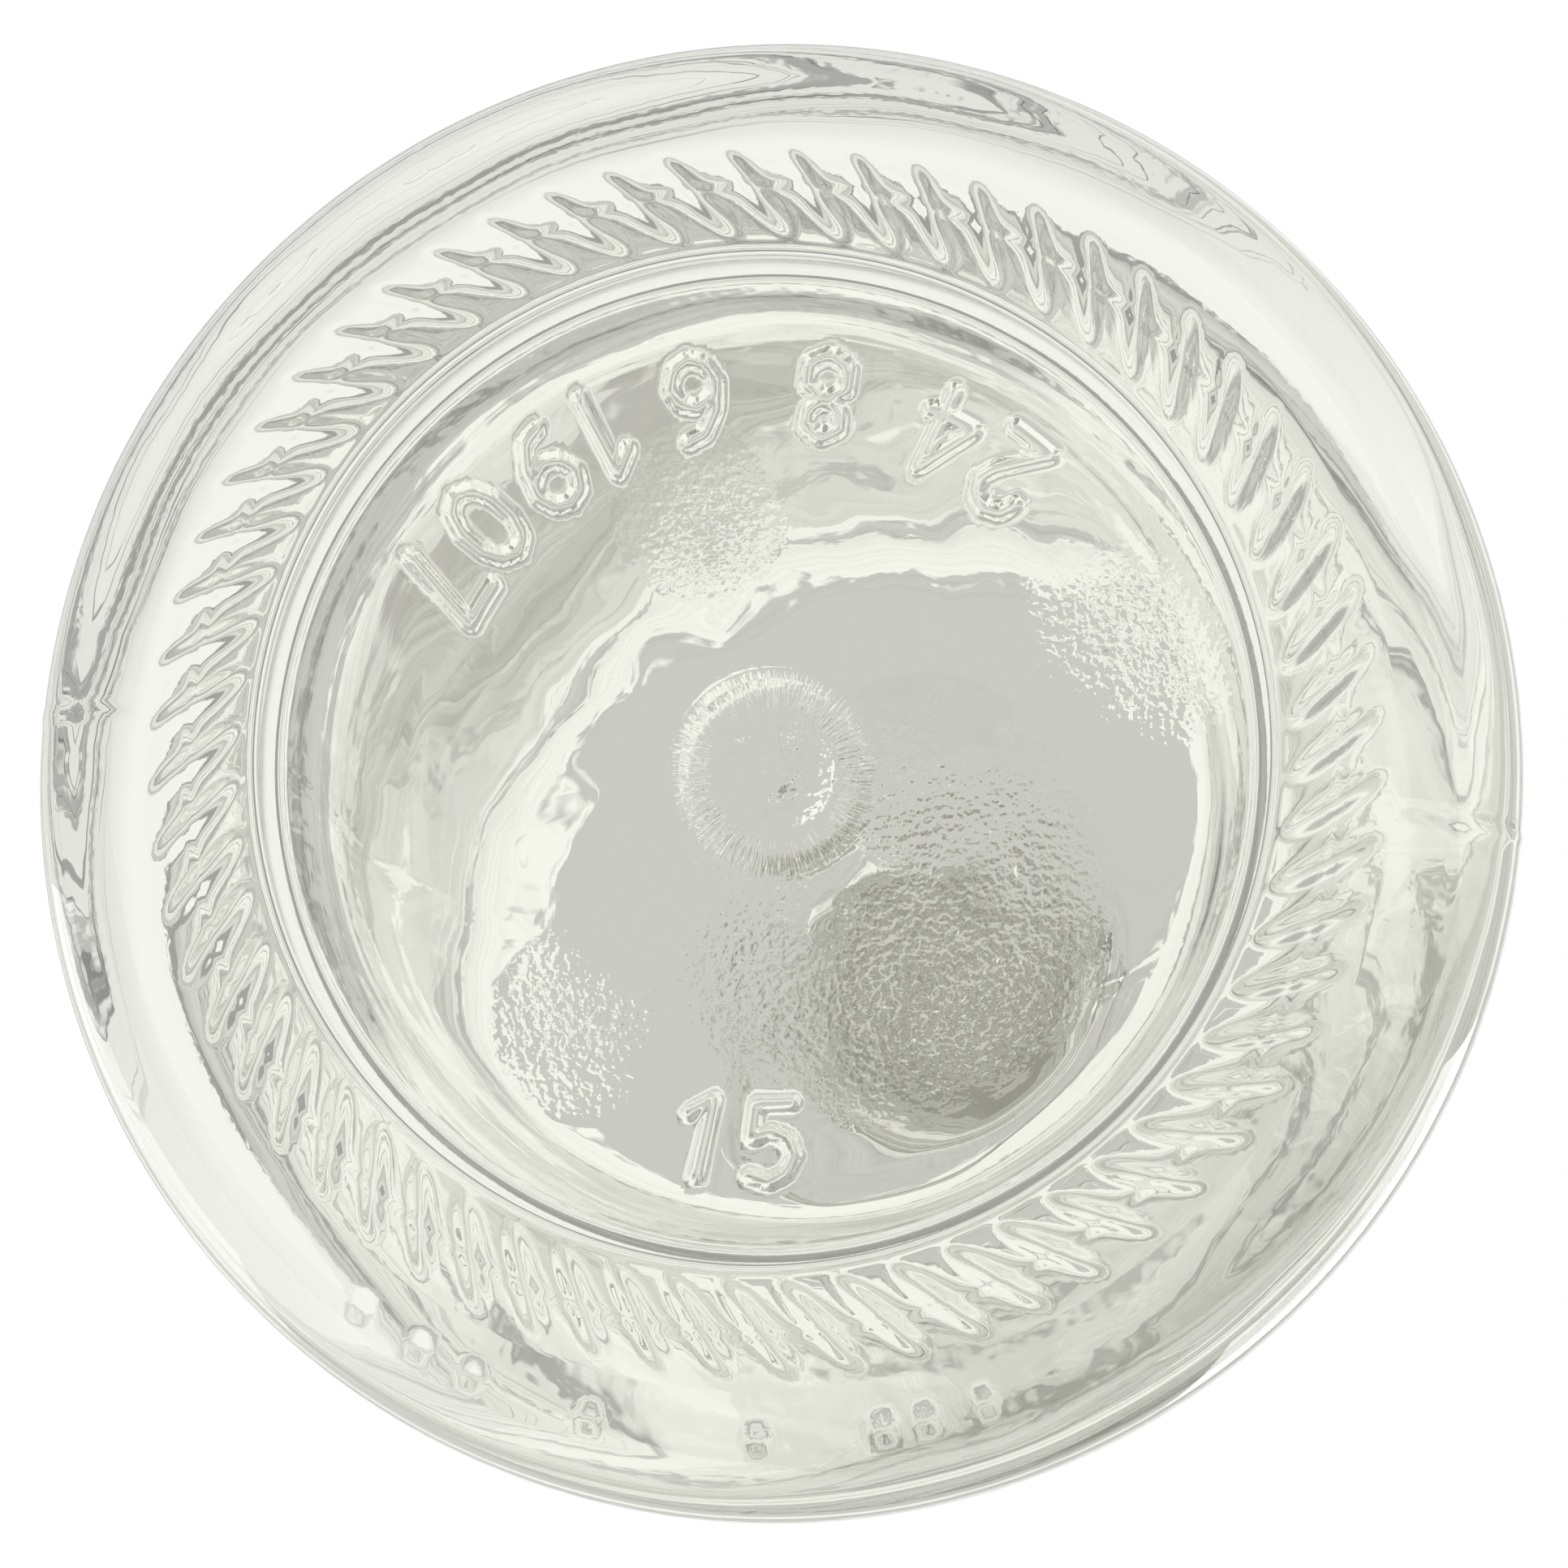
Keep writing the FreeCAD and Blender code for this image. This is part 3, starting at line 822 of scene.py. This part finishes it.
# %% Glazed porcelain
porcelain, nodes, links, surface = new_finish("white_glazed_porcelain")
stopper_place = add_node(nodes, "ShaderNodeTexCoord").outputs["Object"]
cloud = noise(stopper_place, Scale=120.0, Detail=4.0)
glaze = noise(stopper_place, Scale=260.0, Detail=1.0)
porcelain_tone = tone_ramp(cloud, [(0.0, (0.86, 0.85, 0.81)), (1.0, (0.92, 0.91, 0.88))])
links.new(porcelain_tone, surface.inputs["Base Color"])
links.new(press_in(glaze, 0.1 * MM, 0.15), surface.inputs["Normal"])
surface.inputs["Roughness"].default_value = 0.14
surface.inputs["Coat Weight"].default_value = 0.6
surface.inputs["Coat Roughness"].default_value = 0.05
print("finish:", porcelain.name)

# %% Pale rubber
rubber, nodes, links, surface = new_finish("pale_matt_rubber")
washer_place = add_node(nodes, "ShaderNodeTexCoord").outputs["Object"]
mottle = noise(washer_place, Scale=420.0, Detail=5.0)
rubber_tone = tone_ramp(mottle, [(0.0, (0.62, 0.60, 0.56)), (1.0, (0.74, 0.73, 0.69))])
links.new(rubber_tone, surface.inputs["Base Color"])
links.new(press_in(mottle, 0.05 * MM, 0.3), surface.inputs["Normal"])
surface.inputs["Roughness"].default_value = 0.62
print("finish:", rubber.name)

# %% Put the finishes on the closure
closure_finish = {"tie_wire": wire, "lever_wire": wire, "bail_wire": wire,
                  "stopper": porcelain, "gasket": rubber}
for node_name, finish in closure_finish.items():
    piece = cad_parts[node_name]
    for piece_slot in piece.material_slots:
        piece_slot.material = finish
    print(node_name, "takes", finish.name)

# %% [markdown]
# ## The floor
# The bottle stands on a pale floor, but the picture looks up at it from under that floor. A
# hole in the floor would lose the shadow in other views. So the floor is solid from above and
# clear from below, and a ray that came up through it does not see it again. A floor that ends
# draws a hard line behind the bottle. A curved backdrop would hide that line from one side
# only, so here the floor itself turns to plain white far from the bottle, for the eye and for
# what the glass and wire show, and lights nothing.

# %% A wide flat floor
FLOOR_SIZE = 6.0
FLOOR_GAP = 0.1 * MM
half = FLOOR_SIZE / 2
floor_mesh = bpy.data.meshes.new("floor")
floor_mesh.from_pydata([(-half, -half, 0), (half, -half, 0), (half, half, 0), (-half, half, 0)],
                       [], [(0, 1, 2, 3)])
floor = bpy.data.objects.new("floor", floor_mesh)
floor.location.z = -FLOOR_GAP
scene.collection.objects.link(floor)
print("floor is", FLOOR_SIZE, "m wide")

# %% White from far off, and clear from below
FADE_FROM = 0.30
FADE_TO = 1.60
floor_finish, nodes, links, surface = new_finish("pale_floor")
surface.inputs["Base Color"].default_value = (0.84, 0.84, 0.83, 1)
surface.inputs["Roughness"].default_value = 0.9
path = add_node(nodes, "ShaderNodeLightPath").outputs
facing = add_node(nodes, "ShaderNodeNewGeometry").outputs


def mix_shaders(share, first, second):
    node = add_node(nodes, "ShaderNodeMixShader")
    put_in(node.inputs, (share, first, second))
    return node.outputs["Shader"]


away = reckon_vector("LENGTH", facing["Position"])
far = between(away, FADE_FROM, FADE_TO, interpolation_type="SMOOTHSTEP")
looked_at = either(either(path["Is Camera Ray"], path["Is Transmission Ray"]),
                   path["Is Glossy Ray"])
paper = add_node(nodes, "ShaderNodeEmission", Strength=1.0).outputs["Emission"]
swept = mix_shaders(times(far, looked_at), surface.outputs["BSDF"], paper)
came_through = reckon("GREATER_THAN", path["Transparent Depth"], 0.5)
clear = add_node(nodes, "ShaderNodeBsdfTransparent").outputs["BSDF"]
whole = mix_shaders(either(came_through, facing["Backfacing"]), swept, clear)
links.new(whole, nodes["Material Output"].inputs["Surface"])
floor_mesh.materials.append(floor_finish)
print("floor turns white between", FADE_FROM, "and", FADE_TO, "m")

# %% [markdown]
# ## The studio
# Clear glass is drawn by what stands round it. A plain white room on every side would make it
# vanish, so the bottle stands in a tent of white cloth: a grey opening over the middle, thin
# grey bands at its hoops, fine creases between them, and one wider grey band on one side. The
# tent could be built as a mesh, but as a world it is the same from every side and casts no
# shadow. Only what is seen in the glass and wire comes from it. Plain surfaces are lit by an
# even pale tone, and the eye itself sees plain white behind the bottle.

# %% Tones of the tent, by degrees from its middle
WHITE = (1.0, 1.0, 0.99)
SOFT_EDGE = 0.3


def grey(tone):
    return (tone, tone, tone * 0.985)


OPENING = 8.0
OPENING_TONE = grey(0.55)
SHADED = (44.0, 70.0)
SHADED_CLOTH = grey(0.82)
tent_bands = [(17.6, 19.4, grey(0.42)), (25.2, 27.0, grey(0.45)), (33.0, 34.6, grey(0.45)),
              (49.0, 52.5, grey(0.38)), (55.5, 58.0, grey(0.42)), (63.5, 65.5, grey(0.5)),
              (101.0, 119.0, grey(0.36))]
tent_tones = [(0.0, OPENING_TONE), (OPENING, OPENING_TONE), (OPENING + 0.4, WHITE), (84.0, WHITE)]
for start, end, colour in tent_bands:
    cloth = SHADED_CLOTH if SHADED[0] < start < SHADED[1] else WHITE
    tent_tones += [(start, cloth), (start + SOFT_EDGE, colour),
                   (end - SOFT_EDGE, colour), (end, cloth)]
tent_tones.sort(key=lambda stop: stop[0])
print("tent tones:", len(tent_tones))

# %% The cloth hangs round the middle, and sways a little
TENT_MIDDLE = Vector((0.078, 0.112, 0.99)).normalized()
HALF_TURN = 180.0
SWAYS = ((5.0, 0.008), (80.0, 0.013))
world = bpy.data.worlds.new("studio")
scene.world = world
world.use_nodes = True
nodes, links = world.node_tree.nodes, world.node_tree.links
way = add_node(nodes, "ShaderNodeTexCoord").outputs["Generated"]
turned = reckon("ARCCOSINE", reckon_vector("DOT_PRODUCT", way, TENT_MIDDLE))
turn = reckon("DIVIDE", turned, math.pi)
hang = turn
for scale, amount in SWAYS:
    sway = noise(way, Scale=scale, Detail=1.0)
    hang = reckon("ADD", hang, between(sway, 0.0, 1.0, -amount, amount, clamp=False))
tent = tone_ramp(hang, [(degrees / HALF_TURN, colour) for degrees, colour in tent_tones])
print("cloth sways by up to", [round(amount * HALF_TURN, 1) for _, amount in SWAYS], "degrees")


# %% A grey band on one side
def from_one(share, tone):
    """A factor that is 1 where the share is 0, and the tone where the share is 1."""
    node = add_node(nodes, "ShaderNodeMix", data_type="FLOAT")
    node.inputs["A"].default_value = 1.0
    links.new(share, node.inputs["Factor"])
    links.new(tone, node.inputs["B"])
    return node.outputs["Result"]


BAND_SIDE = (0.707, 0.707, 0.0)
BAND_EDGE = (0.15, 0.21)
band_stops = [(0.0, 1.0), (12.8, 1.0), (13.2, 0.46), (21.6, 0.46), (22.0, 1.0)]
side_band = tone_ramp(hang, [(degrees / HALF_TURN, (tone,) * 3) for degrees, tone in band_stops])
on_side = between(reckon_vector("DOT_PRODUCT", way, BAND_SIDE), *BAND_EDGE)
banded = reckon_vector("MULTIPLY", tent, from_one(on_side, side_band))
print("band stops:", len(band_stops))

# %% Creases in the cloth, ring after ring
CREASES = 110.0
CREASE_DRIFT = 0.8
CREASE_HALF = (0.010, 0.025)
CREASE_TONE = 0.4
CREASES_START = (24.0 / HALF_TURN, 42.0 / HALF_TURN)
CREASES_END = (72.0 / HALF_TURN, 67.0 / HALF_TURN)
outwards = reckon_vector("MULTIPLY", times(turn, CREASES), TENT_MIDDLE)
sideways = reckon_vector("MULTIPLY", way, (CREASE_DRIFT,) * 3)
crease = noise(reckon_vector("ADD", outwards, sideways), Scale=1.0, Detail=0.0)
crease_off = reckon("ABSOLUTE", reckon("SUBTRACT", crease, 0.5))
crease_tone = between(crease_off, *CREASE_HALF, low=CREASE_TONE)
crease_zone = times(between(turn, *CREASES_START), between(turn, *CREASES_END))
creased = reckon_vector("MULTIPLY", banded, from_one(crease_zone, crease_tone))
print("nodes in the tent:", len(nodes))


# %% What light, glass and the eye meet
def mix_colours(share, first, second):
    mix = add_node(nodes, "ShaderNodeMix", data_type="RGBA")
    links.new(share, mix.inputs["Factor"])
    put_in([socket for socket in mix.inputs if socket.type == "RGBA"], (first, second))
    return [socket for socket in mix.outputs if socket.type == "RGBA"][0]


EVEN_LIGHT = (0.8, 0.8, 0.79, 1)
PLAIN_WHITE = (1, 1, 1, 1)
path = add_node(nodes, "ShaderNodeLightPath").outputs
through_or_off = either(path["Is Glossy Ray"], path["Is Transmission Ray"])
lit = mix_colours(through_or_off, EVEN_LIGHT, creased)
seen = mix_colours(path["Is Camera Ray"], lit, PLAIN_WHITE)
back = nodes["Background"]
links.new(seen, back.inputs["Color"])
back.inputs["Strength"].default_value = 1.0
print("background strength:", back.inputs["Strength"].default_value)

# %% [markdown]
# ## The lamps
# Two large soft lamps give the stopper, the wire and the floor a gentle light and shadow. A
# sun or a spot would draw hard edges on the floor. They are weak, so that pale porcelain
# keeps its colour, and the glass does not show them when it is looked through.

# %% Soft lamps
LAMP_SIZE = 0.6
LAMP_AIM = Vector((0, 0, 0.1))


def soft_lamp(name, place, power):
    light = bpy.data.lights.new(name, "AREA")
    light.size = LAMP_SIZE
    light.energy = power
    lamp = bpy.data.objects.new(name, light)
    lamp.location = place
    lamp.rotation_euler = (LAMP_AIM - Vector(place)).to_track_quat("-Z", "Y").to_euler()
    lamp.visible_transmission = False
    scene.collection.objects.link(lamp)


soft_lamp("key_lamp", (-0.7, -0.5, 0.9), 3.4)
soft_lamp("fill_lamp", (0.9, -0.3, 0.6), 1.4)

# %% [markdown]
# ## The camera
# The picture is taken from below and a little to one side, close enough for the heel to shift
# against the ring. A track-to constraint could aim the camera, but it would not say which way
# is up. So the camera's own axes are set from the view, with +Y up in the picture, and the
# lens is chosen so that the bottle's outline comes out as wide as in the picture.

# %% Look up at the foot
PICTURE = 1932
OUTLINE_RADIUS_PX = 916.5
SENSOR = 36.0
CAMERA_PLACE = Vector((-24.0, -32.0, -245.0)) * MM
aim = Vector((-0.63, -0.70, 9.0)) * MM
forward = (aim - CAMERA_PLACE).normalized()
right = forward.cross(Vector((0, 1, 0))).normalized()
above = right.cross(forward)
camera = bpy.data.objects.new("camera", bpy.data.cameras.new("camera"))
camera.matrix_world = Matrix((
    (right.x, above.x, -forward.x, CAMERA_PLACE.x),
    (right.y, above.y, -forward.y, CAMERA_PLACE.y),
    (right.z, above.z, -forward.z, CAMERA_PLACE.z),
    (0, 0, 0, 1),
))
reach = (aim - CAMERA_PLACE).length
outline_tan = BODY_RADIUS * MM / reach
camera.data.sensor_width = SENSOR
camera.data.lens = SENSOR / 2 * OUTLINE_RADIUS_PX / (PICTURE / 2) / outline_tan
camera.data.clip_start = 0.01
camera.data.clip_end = 20.0
scene.collection.objects.link(camera)
scene.camera = camera
print("lens", round(camera.data.lens, 1), "mm at", round(reach / MM), "mm")

# %% [markdown]
# ## How far light is followed
# A ray that enters the heel is often thrown to and fro inside the glass before it leaves. Too
# few bounces end it early, and the step and the heel turn black. More than this changes
# nothing that can be seen, and costs time.

# %% Bounces and plain colours
scene.view_settings.view_transform = "Standard"
scene.cycles.max_bounces = 32
scene.cycles.transmission_bounces = 32
scene.cycles.glossy_bounces = 32
scene.cycles.transparent_max_bounces = 16
print("bounces through glass:", scene.cycles.transmission_bounces)
